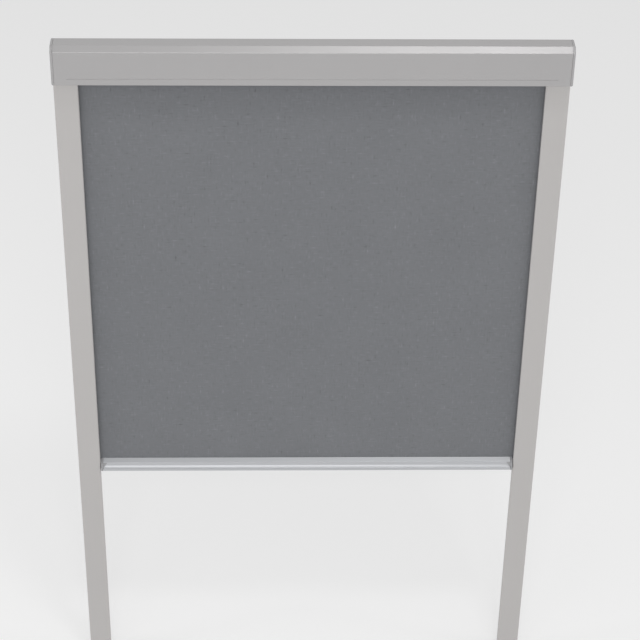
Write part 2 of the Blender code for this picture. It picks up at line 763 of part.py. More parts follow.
# Roller tube with a groove along it, the strip that locks the fabric there, and the wound fabric.
tube = turned(
    "roller_tube",
    [(TUBE_RADIUS, TUBE_HALF), (TUBE_RADIUS, -TUBE_HALF), (TUBE_BORE, -TUBE_HALF), (TUBE_BORE, TUBE_HALF)],
    (0, axis_y, 0),
    40,
)
slot_half = SPLINE_SLOT / 2
spline_z = -TUBE_RADIUS + FIT + SPLINE_RADIUS
slot_floor = spline_z + SPLINE_RADIUS + FIT
add(
    tube,
    block(
        "tube_key",
        (-TUBE_HALF, axis_y - TUBE_KEY_WIDTH / 2, -TUBE_BORE - TUBE_WALL / 2),
        (TUBE_HALF, axis_y + TUBE_KEY_WIDTH / 2, -TUBE_BORE + TUBE_KEY_DEPTH),
    ),
)
cut(
    tube,
    block(
        "spline_slot",
        (-TUBE_HALF - OVERCUT, axis_y - slot_half, -TUBE_RADIUS - OVERCUT),
        (TUBE_HALF + OVERCUT, axis_y + slot_half, slot_floor),
    ),
)
as_piece(tube, ROLLER, MILL)

spline_strip = rod("roller_spline", (-ROLL_HALF, axis_y, spline_z), (ROLL_HALF, axis_y, spline_z), SPLINE_RADIUS, 10)
as_piece(shade_round(spline_strip), ROLLER, INNER_PLASTIC)

roll = turned(
    "fabric_roll",
    [
        (ROLL_RADIUS, ROLL_HALF),
        (ROLL_RADIUS, -ROLL_HALF),
        (TUBE_RADIUS + FIT, -ROLL_HALF),
        (TUBE_RADIUS + FIT, ROLL_HALF),
    ],
    (0, axis_y, 0),
    48,
)
as_piece(shade_round(roll), ROLLER, CLOTH)

# Rails: a chamber along the sash and a channel for the fabric, open towards the middle, with a turned lip in
# front and a hooked slot for the pile strip at the back.
channel_start = 2 * RAIL_WALL + CHAMBER_WIDTH
pile_at = RAIL_WIDTH - PILE_INSET
slot_half_width = PILE_BASE / 2 + FIT
mouth_half = PILE_WIDTH / 2 + FIT
slot_depth = PILE_BASE_THICKNESS + 2 * FIT
hook_half = slot_half_width + HOOK_THICKNESS
hook_height = slot_depth + HOOK_THICKNESS


def rail(side_name, side):
    def mapped(corners):
        return [(side * (HALF_WIDTH - point[0]), point[1]) for point in rounded(corners)]

    front, wall = -RAIL_DEPTH, RAIL_WALL
    outer = [
        (0, 0),
        (0, front, RAIL_EDGE),
        (RAIL_WIDTH, front, RAIL_BROW),
        (RAIL_WIDTH, front + RAIL_LIP, wall / 3),
        (RAIL_WIDTH - wall, front + RAIL_LIP, wall / 3),
        (RAIL_WIDTH - wall, front + wall),
        (channel_start, front + wall),
        (channel_start, -wall),
        (pile_at - hook_half, -wall),
        (pile_at - hook_half, -wall - hook_height),
        (pile_at - mouth_half, -wall - hook_height),
        (pile_at - mouth_half, -wall - slot_depth),
        (pile_at - slot_half_width, -wall - slot_depth),
        (pile_at - slot_half_width, -wall),
        (pile_at + slot_half_width, -wall),
        (pile_at + slot_half_width, -wall - slot_depth),
        (pile_at + mouth_half, -wall - slot_depth),
        (pile_at + mouth_half, -wall - hook_height),
        (pile_at + hook_half, -wall - hook_height),
        (pile_at + hook_half, -wall),
        (RAIL_WIDTH - BACK_SHORT, -wall),
        (RAIL_WIDTH - BACK_SHORT, 0),
    ]
    foot = RAIL_FOOT + RAIL_CAP_PLATE + FIT
    profile = extrusion(f"rail_{side_name}", mapped(outer), foot, RAIL_TOP, ALONG_Z)
    chamber = block(
        f"rail_chamber_{side_name}",
        (side * (HALF_WIDTH - wall), front + wall, foot - OVERCUT),
        (side * (HALF_WIDTH - wall - CHAMBER_WIDTH), -wall, RAIL_TOP + OVERCUT),
    )
    cut(profile, chamber)
    hole_y = -RAIL_DEPTH / 2
    for index in range(HOLE_COUNT):
        share = index / (HOLE_COUNT - 1)
        hole_z = (RAIL_TOP - HOLE_INSET) * (1 - share) + (RAIL_FOOT + HOLE_INSET) * share
        for kind, radius, start, end in (
            ("fixing", HOLE_RADIUS, -OVERCUT, wall + CHAMBER_WIDTH / 2),
            ("access", ACCESS_RADIUS, wall + CHAMBER_WIDTH / 2, channel_start + OVERCUT),
        ):
            cut(
                profile,
                rod(
                    f"{kind}_hole_{side_name}_{index}",
                    (side * (HALF_WIDTH - start), hole_y, hole_z),
                    (side * (HALF_WIDTH - end), hole_y, hole_z),
                    radius,
                    20,
                ),
            )
    as_piece(profile, ROOT, RAIL_FINISH)


def pile_strip(name, middle, base_at, base_half, base_thickness, half, tip, start, end, axes):
    """A strip of pile on a wider base: middle across it, base_at to tip along the pile."""
    step = base_at + (base_thickness if tip > base_at else -base_thickness)
    outline = [
        (middle - base_half, base_at),
        (middle + base_half, base_at),
        (middle + base_half, step),
        (middle + half, step),
        (middle + half, tip),
        (middle - half, tip),
        (middle - half, step),
        (middle - base_half, step),
    ]
    return extrusion(name, outline, start, end, axes)


def rail_end_cap(side_name, side):
    def at(inward, y, z):
        return (side * (HALF_WIDTH - inward), y, z)

    front, back = -RAIL_DEPTH + RAIL_WALL + FIT, -RAIL_WALL - FIT
    outline = rounded(
        [
            (0, 0),
            (0, -RAIL_DEPTH, RAIL_EDGE),
            (RAIL_WIDTH, -RAIL_DEPTH, RAIL_BROW),
            (RAIL_WIDTH, 0),
        ]
    )
    outline = [(side * (HALF_WIDTH - u), v) for u, v in outline]
    plate_top = RAIL_FOOT + RAIL_CAP_PLATE
    cap = extrusion(f"rail_end_cap_{side_name}", outline, RAIL_FOOT, plate_top, ALONG_Z)
    spigot = block(
        f"rail_cap_spigot_{side_name}",
        at(RAIL_WALL + FIT, front, plate_top - SINK),
        at(RAIL_WALL + CHAMBER_WIDTH - FIT, back, plate_top + RAIL_CAP_SPIGOT),
        edge=0.0005,
    )
    stop = block(
        f"bar_stop_{side_name}",
        at(channel_start + FIT, front, plate_top - SINK),
        at(channel_start + FIT + STOP_WIDTH, TONGUE_BACK_Y, plate_top + STOP_HEIGHT),
    )
    add(cap, spigot, stop)
    as_piece(cap, ROOT, CAP_PLASTIC)


for side_name, side in SIDES.items():
    rail(side_name, side)
    rail_end_cap(side_name, side)
    strip = pile_strip(
        f"rail_pile_{side_name}",
        side * (HALF_WIDTH - pile_at),
        -RAIL_WALL - FIT,
        PILE_BASE / 2,
        PILE_BASE_THICKNESS,
        PILE_WIDTH / 2,
        FABRIC_Y + FABRIC_THICKNESS / 2 + FIT,
        RAIL_FOOT + RAIL_CAP_PLATE + 2 * FIT,
        RAIL_TOP,
        ALONG_Z,
    )
    as_piece(strip, ROOT, PILE)

# Bottom bar. Its profile is drawn in (forward of the fabric, above the bar's foot).
seal_half = SEAL_BASE / 2 + FIT
seal_mouth = SEAL_WIDTH / 2 + FIT
seal_lip = HOOK_THICKNESS
seal_roof = seal_lip + SEAL_BASE_THICKNESS + 2 * FIT
seal_at = (BAR_REACH - BAR_BACK) / 2
hem_side = asin(SLIT_WIDTH / 2 / HEM_RADIUS)


def grip(gap=0.0, steps=8):
    """The hollow of the grip, from under the bar's top edge to the lip below it."""
    high = Vector((BAR_FLANGE - GRIP_STEP, BAR_HEIGHT - BAR_FALL - BAR_EDGE))
    low = Vector((BAR_REACH - GRIP_STEP, BAR_LIP))
    chord = low - high
    radius = GRIP_SAG / 2 + chord.length**2 / (8 * GRIP_SAG)
    normal = Vector((chord.y, -chord.x)).normalized()
    if normal.x < 0:
        normal.negate()
    centre = (high + low) / 2 + normal * (radius - GRIP_SAG)
    points = []
    for step in range(steps + 1):
        points.append(centre + spoke(high - centre, low - centre, step / steps) * (radius - gap) / radius)
    return points


def bar_points(corners):
    return [(FABRIC_Y - point[0], point[1]) for point in corners]


hem_groove = []
for step in range(13):
    angle = pi / 2 + hem_side + (2 * pi - 2 * hem_side) * step / 12
    hem_groove.append((HEM_RADIUS * cos(angle), HEM_Z + HEM_RADIUS * sin(angle)))

top_front = (BAR_FLANGE, BAR_HEIGHT - BAR_FALL, 0.0003)
bar_outline = rounded(
    [
        (-BAR_BACK, 0, 0.0005),
        (-BAR_BACK, BAR_HEIGHT, 0.0004),
        (-SLIT_WIDTH / 2, BAR_HEIGHT),
        *hem_groove,
        (SLIT_WIDTH / 2, BAR_HEIGHT),
        top_front,
        (BAR_FLANGE, BAR_HEIGHT - BAR_FALL - BAR_EDGE, 0.0002),
        *[tuple(point) for point in grip()],
        (BAR_REACH, BAR_LIP - GRIP_STEP / 2),
        (BAR_REACH, 0, 0.0008),
        (seal_at + seal_mouth, 0),
        (seal_at + seal_mouth, seal_lip),
        (seal_at + seal_half, seal_lip),
        (seal_at + seal_half, seal_roof),
        (seal_at - seal_half, seal_roof),
        (seal_at - seal_half, seal_lip),
        (seal_at - seal_mouth, seal_lip),
        (seal_at - seal_mouth, 0),
    ]
)
deepest = min(grip(), key=lambda point: point.x + point.y)


def bar_chamber(inset):
    """The bar's hollow, moved in by inset; the bar's ends plug into it."""
    floor = seal_roof + BAR_WALL + inset
    roof = HEM_Z - HEM_RADIUS - BAR_WALL - inset
    back = -BAR_BACK + BAR_WALL + inset
    lip = BAR_REACH - BAR_WALL - inset
    return [
        (back, floor),
        (lip, floor),
        (lip, BAR_LIP - 1.4 * BAR_WALL - inset),
        (deepest.x - 1.2 * BAR_WALL - inset, roof),
        (back, roof),
    ]


bar_in = HALF_BAR - BAR_PLATE - FIT
above_foot = (0, 0, BAR_FOOT)
bottom_bar = extrusion("bottom_bar", bar_points(bar_outline), -bar_in, bar_in, ALONG_X, above_foot)
bar_reach = bar_in + OVERCUT
cut(
    bottom_bar,
    extrusion("bar_chamber", bar_points(bar_chamber(0)), -bar_reach, bar_reach, ALONG_X, above_foot),
)
as_piece(bottom_bar, BAR, BAR_FINISH)

hem = rod(
    "hem_spline",
    (-bar_in, FABRIC_Y, BAR_FOOT + HEM_Z),
    (bar_in, FABRIC_Y, BAR_FOOT + HEM_Z),
    HEM_SPLINE_RADIUS,
    12,
)
as_piece(shade_round(hem), BAR, INNER_PLASTIC)

seal = pile_strip(
    "bar_seal",
    FABRIC_Y - seal_at,
    seal_roof - FIT,
    SEAL_BASE / 2,
    SEAL_BASE_THICKNESS,
    SEAL_WIDTH / 2,
    -SEAL_PROUD,
    -bar_in,
    bar_in,
    ALONG_X,
)
seal.location.z = BAR_FOOT
as_piece(seal, BAR, PILE)

tongue_end = HALF_WIDTH - channel_start - RUNNING
tongue_low, tongue_high = BAR_FOOT + TONGUE_FOOT, BAR_TOP - TONGUE_TOP
pad_middle = tongue_end - PAD_LENGTH / 2 - RUNNING
pad_z = (tongue_low + tongue_high) / 2
pocket_half = PAD_LENGTH / 2 - PAD_LEG
pocket_height = PAD_HEIGHT / 2 - PAD_LEG / 2


def bar_end(side_name, side):
    """The moulded end of the bar: plate, spigot, a web across the end of the grip and a tongue in the rail."""
    outline = rounded(
        [
            (-BAR_BACK, 0, 0.0005),
            (-BAR_BACK, BAR_HEIGHT, 0.0004),
            (SLIT_WIDTH / 2, BAR_HEIGHT),
            top_front,
            (BAR_REACH, BAR_LIP + GRIP_STEP),
            (BAR_REACH, 0, 0.0008),
        ]
    )
    inner, outer = side * (HALF_BAR - BAR_PLATE), side * HALF_BAR
    end = extrusion(f"bar_end_{side_name}", bar_points(outline), inner, outer, ALONG_X, above_foot)
    spigot = extrusion(
        f"bar_spigot_{side_name}",
        bar_points(bar_chamber(FIT)),
        side * (HALF_BAR - BAR_PLATE + SINK),
        side * (HALF_BAR - BAR_PLATE - BAR_SPIGOT),
        ALONG_X,
        above_foot,
    )
    hollow = grip(gap=FIT)[1:-1]
    web = extrusion(
        f"grip_web_{side_name}",
        bar_points([*hollow, (BAR_REACH - GRIP_STEP, BAR_LIP + GRIP_STEP), (BAR_FLANGE, hollow[0].y)]),
        side * (HALF_BAR - BAR_PLATE + SINK),
        side * (HALF_BAR - BAR_PLATE - GUSSET_TOP),
        ALONG_X,
        above_foot,
    )
    # The web narrows downwards, so its inner face leans.
    fall = hollow[0].y - hollow[-1].y
    for vert in web.data.vertices:
        if vert.co.z * side < 0:
            vert.co.z += side * (GUSSET_TOP - GUSSET_FOOT) * (hollow[0].y - vert.co.y) / fall
    tongue = block(
        f"tongue_{side_name}",
        (side * (HALF_BAR - SINK), TONGUE_BACK_Y, tongue_low),
        (side * tongue_end, TONGUE_FRONT_Y, tongue_high),
        edge=0.0004,
    )
    add(end, spigot, web, tongue)
    cut(
        end,
        block(
            f"spring_pocket_{side_name}",
            (side * (pad_middle - pocket_half), TONGUE_FRONT_Y - OVERCUT, pad_z - pocket_height),
            (side * (pad_middle + pocket_half), TONGUE_FRONT_Y + POCKET_DEPTH, pad_z + pocket_height),
        ),
    )
    as_piece(end, BAR, BAR_PLASTIC)


def brake(side_name, side):
    """A felt-faced shoe whose legs sit in the tongue's pocket, and the bowed leaf spring behind it."""
    shoe_back = PAD_FRONT_Y + PAD_THICKNESS
    pad = block(
        f"brake_pad_{side_name}",
        (side * (pad_middle - PAD_LENGTH / 2), PAD_FRONT_Y, pad_z - PAD_HEIGHT / 2),
        (side * (pad_middle + PAD_LENGTH / 2), shoe_back, pad_z + PAD_HEIGHT / 2),
        edge=0.0003,
    )
    for name, end in (("upper", 1), ("lower", -1)):
        outer = pad_z + end * (pocket_height - FIT)
        add(
            pad,
            block(
                f"pad_leg_{side_name}_{name}",
                (side * (pad_middle - pocket_half + FIT), shoe_back - SINK, outer),
                (side * (pad_middle + pocket_half - FIT), TONGUE_FRONT_Y + POCKET_DEPTH / 2, outer - end * PAD_LEG),
            ),
        )
    as_piece(pad, BAR, PAD)

    floor, crown = TONGUE_FRONT_Y + POCKET_DEPTH - FIT, shoe_back + FIT
    rise = floor - crown
    half = pocket_half - 2 * FIT
    radius = rise / 2 + half**2 / (2 * rise)
    sweep = asin(half / radius)
    bow = []
    for step in range(9):
        angle = -sweep + 2 * sweep * step / 8
        bow.append((side * pad_middle + radius * sin(angle), crown + radius * (1 - cos(angle))))
    leaf = sheet(
        f"brake_spring_{side_name}",
        bow,
        pad_z - LEAF_WIDTH / 2,
        pad_z + LEAF_WIDTH / 2,
        LEAF_THICKNESS,
        ALONG_Z,
        inside=(side * pad_middle, floor + radius),
    )
    as_piece(leaf, BAR, SPRING_STEEL)


for side_name, side in SIDES.items():
    bar_end(side_name, side)
    brake(side_name, side)

# The drawn part of the fabric, full width in the rails and narrower where it enters the bar.
hem_half = bar_in - RUNNING
shoulder = BAR_TOP + RUNNING
fabric_foot = BAR_FOOT + HEM_Z + HEM_SPLINE_RADIUS + FIT
fabric = extrusion(
    "fabric",
    [
        (-ROLL_HALF, 0),
        (-ROLL_HALF, shoulder),
        (-hem_half, shoulder),
        (-hem_half, fabric_foot),
        (hem_half, fabric_foot),
        (hem_half, shoulder),
        (ROLL_HALF, shoulder),
        (ROLL_HALF, 0),
    ],
    FABRIC_SETBACK - FABRIC_THICKNESS / 2,
    FABRIC_SETBACK + FABRIC_THICKNESS / 2,
    ALONG_Y,
)
as_piece(fabric, BAR, CLOTH)
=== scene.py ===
from math import asin, atan2, cos, hypot, pi, radians, sin
from random import Random

import bmesh
import bpy
from mathutils import Matrix, Vector


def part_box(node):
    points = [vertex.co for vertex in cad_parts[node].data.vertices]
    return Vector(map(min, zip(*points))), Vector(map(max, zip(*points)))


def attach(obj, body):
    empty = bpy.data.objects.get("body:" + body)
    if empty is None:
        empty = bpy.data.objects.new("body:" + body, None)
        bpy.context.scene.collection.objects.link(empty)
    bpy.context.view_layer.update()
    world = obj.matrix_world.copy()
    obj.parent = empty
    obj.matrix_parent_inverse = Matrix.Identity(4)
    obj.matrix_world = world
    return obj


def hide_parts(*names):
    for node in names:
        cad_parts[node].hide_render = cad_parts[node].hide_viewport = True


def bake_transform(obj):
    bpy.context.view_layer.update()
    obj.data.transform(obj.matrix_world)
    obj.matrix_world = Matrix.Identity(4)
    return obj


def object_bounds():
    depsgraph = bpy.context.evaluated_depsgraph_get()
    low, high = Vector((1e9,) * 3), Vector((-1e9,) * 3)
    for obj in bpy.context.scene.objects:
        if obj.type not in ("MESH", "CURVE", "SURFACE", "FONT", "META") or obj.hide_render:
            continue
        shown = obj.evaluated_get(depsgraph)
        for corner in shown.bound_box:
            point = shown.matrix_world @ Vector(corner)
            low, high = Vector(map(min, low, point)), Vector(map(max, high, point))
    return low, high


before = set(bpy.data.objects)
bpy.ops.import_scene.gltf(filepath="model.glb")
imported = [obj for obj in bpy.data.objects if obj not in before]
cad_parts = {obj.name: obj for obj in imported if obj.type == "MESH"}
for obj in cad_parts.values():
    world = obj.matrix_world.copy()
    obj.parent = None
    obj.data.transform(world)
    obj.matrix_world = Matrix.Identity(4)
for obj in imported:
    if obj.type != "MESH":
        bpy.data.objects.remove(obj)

cad_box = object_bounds()

# Camera. It stands in front of the blind, a little left of its middle, and looks down on it at about 35
# degrees through a long lens, so the rails converge only slightly.
focal_px, picture_px, sensor_mm = 2025, 640, 36
look_down = 34.658
sideways, tilt, lean = radians(-1.894), radians(90 - look_down), radians(1.022)
eye = bpy.data.objects.new("room_camera", bpy.data.cameras.new("room_camera"))
eye.data.lens = focal_px / picture_px * sensor_mm
eye.data.clip_end = 50
eye.matrix_world = (
    Matrix.Translation((-0.0565, -2.135, 1.0933))
    @ Matrix.Rotation(sideways, 4, "Z")
    @ Matrix.Rotation(tilt, 4, "X")
    @ Matrix.Rotation(lean, 4, "Z")
)
bpy.context.scene.collection.objects.link(eye)
bpy.context.scene.camera = eye
bpy.context.scene.view_settings.view_transform = "Standard"

# Headbox shell. One aluminium extrusion, satin anodised in its natural silver grey. The die leaves very fine
# lines along it, the anodising clouds the tone a little, and the edges in view have a small radius. A shadow
# groove runs above the lower lip, and two round ports for the cap screws stand inside.
COLOUR, NUMBER, VECTOR = "NodeSocketColor", "NodeSocketFloat", "NodeSocketVector"


def new_node(tree, kind, **settings):
    node = tree.nodes.new(kind)
    for setting, value in settings.items():
        setattr(node, setting, value)
    return node


def maths(tree, operation, *values):
    """A Math node on numbers or sockets; gives its output."""
    node = new_node(tree, "ShaderNodeMath", operation=operation)
    for socket, value in zip(node.inputs, values):
        if hasattr(value, "is_output"):
            tree.links.new(value, socket)
        else:
            socket.default_value = value
    return node.outputs[0]


def plus(tree, one, other):
    return maths(tree, "ADD", one, other)


def minus(tree, one, other):
    return maths(tree, "SUBTRACT", one, other)


def times(tree, one, other):
    return maths(tree, "MULTIPLY", one, other)


def noise(tree, place, scale, detail=2.0, rough=0.5):
    node = new_node(tree, "ShaderNodeTexNoise")
    node.inputs["Scale"].default_value = scale
    node.inputs["Detail"].default_value = detail
    node.inputs["Roughness"].default_value = rough
    tree.links.new(place, node.inputs["Vector"])
    return node.outputs["Fac"]


def multiplied(tree, one, other):
    """One vector or colour socket times another."""
    node = new_node(tree, "ShaderNodeVectorMath", operation="MULTIPLY")
    tree.links.new(one, node.inputs[0])
    tree.links.new(other, node.inputs[1])
    return node.outputs["Vector"]


def toned(tree, colour, *shares):
    """The colour made lighter or darker by (value around 0.5, amount) pairs."""
    total = 1.0
    for value, amount in shares:
        total = plus(tree, times(tree, minus(tree, value, 0.5), amount), total)
    node = new_node(tree, "ShaderNodeVectorMath", operation="SCALE")
    tree.links.new(colour, node.inputs[0])
    tree.links.new(total, node.inputs["Scale"])
    return node.outputs["Vector"]


def effect(name, **sockets):
    """An empty shader group that gives colour, roughness and height; returns its tree, inputs and result."""
    tree = bpy.data.node_groups.new(name, "ShaderNodeTree")
    for label, kind in sockets.items():
        tree.interface.new_socket(label.replace("_", " "), in_out="INPUT", socket_type=kind)
    for label, kind in (("Colour", COLOUR), ("Roughness", NUMBER), ("Height", NUMBER)):
        tree.interface.new_socket(label, in_out="OUTPUT", socket_type=kind)
    return tree, new_node(tree, "NodeGroupInput").outputs, new_node(tree, "NodeGroupOutput").inputs


def finish(name, group, values, metallic=0.0, bump=0.1, depth=0.0001):
    """A material whose Principled shader takes its colour, roughness and relief from a group."""
    material = bpy.data.materials.new(name)
    material.use_nodes = True
    tree = material.node_tree
    shader = tree.nodes["Principled BSDF"]
    node = new_node(tree, "ShaderNodeGroup", node_tree=group)
    for label, value in values.items():
        node.inputs[label].default_value = value
    tree.links.new(node.outputs["Colour"], shader.inputs["Base Color"])
    tree.links.new(node.outputs["Roughness"], shader.inputs["Roughness"])
    relief = new_node(tree, "ShaderNodeBump")
    relief.inputs["Strength"].default_value = bump
    relief.inputs["Distance"].default_value = depth
    tree.links.new(node.outputs["Height"], relief.inputs["Height"])
    tree.links.new(relief.outputs["Normal"], shader.inputs["Normal"])
    shader.inputs["Metallic"].default_value = metallic
    return material


def piece(name, bm, material, body, node, angle=32):
    """Makes a bmesh a piece that rides on a body and stands for a node of the frame."""
    mesh = bpy.data.meshes.new(name)
    bm.to_mesh(mesh)
    bm.free()
    mesh.materials.append(material)
    mesh.shade_smooth()
    mesh.set_sharp_from_angle(angle=radians(angle))
    obj = bpy.data.objects.new(name, mesh)
    bpy.context.scene.collection.objects.link(obj)
    even = obj.modifiers.new("even_shading", "WEIGHTED_NORMAL")
    even.keep_sharp = True
    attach(obj, body)
    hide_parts(node)


def points_of(geometry):
    return [item for item in geometry if isinstance(item, bmesh.types.BMVert)]


def lines_of(geometry):
    return [item for item in geometry if isinstance(item, bmesh.types.BMEdge)]


def lines_at(verts):
    """Every edge that meets these vertices, once."""
    return list(dict.fromkeys(line for vert in verts for line in vert.link_edges))


def drawn_out(bm, faces, way):
    """Extrudes faces by a vector."""
    grown = bmesh.ops.extrude_face_region(bm, geom=faces)["geom"]
    bmesh.ops.translate(bm, vec=way, verts=points_of(grown))


def extruded(corners, start, end, along, hollow=()):
    """A bmesh of a closed profile drawn out from start to end. A corner is (u, v) or (u, v, radius); a hollow
    is the (u, v) outline of a room inside it."""
    bm = bmesh.new()
    verts = [bm.verts.new((*corner[:2], start)) for corner in corners]
    bm.faces.new(verts)
    rounds = [(corner[2], vert) for corner, vert in zip(corners, verts) if len(corner) > 2]
    for radius in sorted({own for own, vert in rounds}):
        bmesh.ops.bevel(
            bm, geom=[vert for own, vert in rounds if own == radius], offset=radius, offset_type="OFFSET",
            segments=5, profile=0.5, affect="VERTICES", material=-1,
        )
    if hollow:
        bmesh.ops.delete(bm, geom=bm.faces[:], context="FACES_ONLY")
        around = [bm.verts.new((*point, start)) for point in hollow]
        for pair in zip(around, around[1:] + around[:1]):
            bm.edges.new(pair)
        bmesh.ops.triangle_fill(bm, use_beauty=True, edges=bm.edges[:])
    drawn_out(bm, bm.faces[:], (0, 0, end - start))
    bmesh.ops.transform(bm, matrix=along, verts=bm.verts)
    bm.normal_update()
    bmesh.ops.recalc_face_normals(bm, faces=bm.faces)
    return bm


# The first takes a profile in the Y-Z plane out along X, the second one in the X-Y plane out along Z.
ALONG_X = Matrix(((0, 0, 1, 0), (1, 0, 0, 0), (0, 1, 0, 0), (0, 0, 0, 1)))
ALONG_Z = Matrix.Identity(4)

drawn, given, result = effect(
    "drawn_through_a_die", Colour=COLOUR, Roughness=NUMBER, Die_Lines=VECTOR, Line_Depth=NUMBER, Clouds=NUMBER
)
where = new_node(drawn, "ShaderNodeTexCoord").outputs["Object"]
lines = noise(drawn, multiplied(drawn, where, given["Die Lines"]), scale=1.0, detail=3.0, rough=0.6)
clouds = noise(drawn, where, scale=9.0, detail=3.0, rough=0.55)
grains = noise(drawn, where, scale=2600.0, detail=1.0)
tone = toned(drawn, given["Colour"], (lines, given["Line Depth"]), (clouds, given["Clouds"]), (grains, 0.04))
drawn.links.new(tone, result["Colour"])
uneven = plus(drawn, times(drawn, lines, 0.10), times(drawn, clouds, 0.08))
drawn.links.new(plus(drawn, given["Roughness"], minus(drawn, uneven, 0.09)), result["Roughness"])
drawn.links.new(plus(drawn, lines, times(drawn, grains, 0.5)), result["Height"])
along, across = 14.0, 1500.0
LINES_ALONG_X, LINES_ALONG_Z = (along, across, across), (across, across, along)
anodised = finish(
    "satin_anodised_headbox",
    drawn,
    {
        "Colour": (0.47, 0.461, 0.462, 1), "Roughness": 0.36,
        "Die Lines": LINES_ALONG_X, "Line Depth": 0.05, "Clouds": 0.05,
    },
    metallic=0.45,
    bump=0.12,
)
low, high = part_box("headbox_shell")
front, foot, top, back = low[1], low[2], high[2], high[1]
wall, tuck, chamfer, edge = 0.0013, 0.012, 0.0065, 0.0005
lip, lip_rise, lip_edge = 0.016, 0.004, 0.0004
# Where the outline turns by 45 degrees, the inner corner lies this much further on.
further = (2 ** 0.5 - 1) * wall
outside = [
    (back, foot), (back, top - tuck, edge), (back - tuck, top, edge), (front + chamfer, top, edge),
    (front, top - chamfer, edge), (front, foot, edge), (front + lip, foot, lip_edge),
    (front + lip, foot + lip_rise, lip_edge),
]
inside = [
    (front + lip - wall, foot + lip_rise), (front + lip - wall, foot + wall), (front + wall, foot + wall),
    (front + wall, top - chamfer - further), (front + chamfer + further, top - wall),
    (back - tuck - further, top - wall), (back - wall, top - tuck - further), (back - wall, foot),
]
bm = extruded(outside + inside, low[0], high[0], ALONG_X)


def front_wall(bm, front):
    """The faces of the wall that stands at this y and looks into the room."""
    looking = [face for face in bm.faces if face.normal.y < -0.99]
    return [face for face in looking if abs(face.calc_center_median().y - front) < 1e-6]


groove_end, groove_low, groove_high, groove_depth = high[0] - 0.0145, foot + 0.0078, foot + 0.0091, 0.0003
cuts = [((x, 0, 0), (1, 0, 0)) for x in (-groove_end, groove_end)]
cuts += [((0, 0, z), (0, 0, 1)) for z in (groove_low, groove_high)]
for point, normal in cuts:
    reached = [item for face in front_wall(bm, front) for item in (*face.verts, *face.edges, face)]
    bmesh.ops.bisect_plane(bm, geom=list(dict.fromkeys(reached)), dist=1e-7, plane_co=point, plane_no=normal)
strip = []
for face in front_wall(bm, front):
    middle = face.calc_center_median()
    if abs(middle.x) < groove_end and groove_low < middle.z < groove_high:
        strip.append(face)
drawn_out(bm, strip, (0, groove_depth, 0))
bmesh.ops.delete(bm, geom=strip, context="FACES")
port_radii, port_segments = (0.0035, 0.0015), 20
ports = (back - tuck - 0.0025, top - 0.0045), (front + 0.0045, foot + 0.0045)
for port_y, port_z in ports:
    place = Matrix.Translation((low[0], port_y, port_z)) @ Matrix.Rotation(-pi / 2, 4, "Y")
    rims = []
    for radius in port_radii:
        ring = bmesh.ops.create_circle(bm, segments=port_segments, radius=radius, matrix=place)["verts"]
        rims += lines_at(ring)
    drawn_out(bm, bmesh.ops.bridge_loops(bm, edges=rims)["faces"], (high[0] - low[0], 0, 0))
bmesh.ops.recalc_face_normals(bm, faces=bm.faces)
piece("headbox_extrusion", bm, anodised, "root", "headbox_shell")

# End caps. Moulded in grey plastic with a metallic tone, to go with the anodising, and a fine eroded texture
# all over. Each plugs into an end of the headbox, takes the bracket in a recess and reaches down to its rail.
moulded, given, result = effect(
    "moulded_plastic", Colour=COLOUR, Roughness=NUMBER, Texture=NUMBER, Clouds=NUMBER
)
where = new_node(moulded, "ShaderNodeTexCoord").outputs["Object"]
grain = noise(moulded, where, scale=3200.0, detail=2.0, rough=0.6)
clouds = noise(moulded, where, scale=60.0, detail=3.0)
tone = toned(moulded, given["Colour"], (grain, 0.06), (clouds, given["Clouds"]))
moulded.links.new(tone, result["Colour"])
shine = times(moulded, minus(moulded, clouds, 0.5), 0.15)
moulded.links.new(plus(moulded, given["Roughness"], shine), result["Roughness"])
moulded.links.new(times(moulded, grain, given["Texture"]), result["Height"])
cap_plastic = finish(
    "grey_cap_plastic",
    moulded,
    {"Colour": (0.455, 0.448, 0.452, 1), "Roughness": 0.38, "Texture": 1.0, "Clouds": 0.05},
    metallic=0.4,
    bump=0.2,
)


def softened(node, material, body, edge=0.0, shave=()):
    """A copy of a node's shape with its loose triangles joined and its crisp edges broken. What stands above
    the shave plane, a point and a normal, is cut off."""
    bm = bmesh.new()
    bm.from_mesh(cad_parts[node].data)
    bmesh.ops.remove_doubles(bm, verts=bm.verts, dist=2e-6)
    bmesh.ops.dissolve_limit(bm, angle_limit=radians(0.4), verts=bm.verts, edges=bm.edges)
    if shave:
        point, normal = shave
        whole = bm.verts[:] + bm.edges[:] + bm.faces[:]
        trimmed = bmesh.ops.bisect_plane(
            bm, geom=whole, dist=1e-7, plane_co=point, plane_no=normal, clear_outer=True
        )
        bmesh.ops.holes_fill(bm, edges=lines_of(trimmed["geom_cut"]), sides=0)
    if edge:
        joints = [line for line in bm.edges if len(line.link_faces) == 2]
        crisp = [line for line in joints if line.calc_face_angle_signed() > radians(50)]
        bmesh.ops.bevel(
            bm, geom=crisp, offset=edge, segments=2, profile=0.5, affect="EDGES", material=-1,
            clamp_overlap=True,
        )
    piece(f"{node}_finished", bm, material, body, node)


for side in ("left", "right"):
    softened(f"end_cap_{side}", cap_plastic, "root", edge=0.00015)

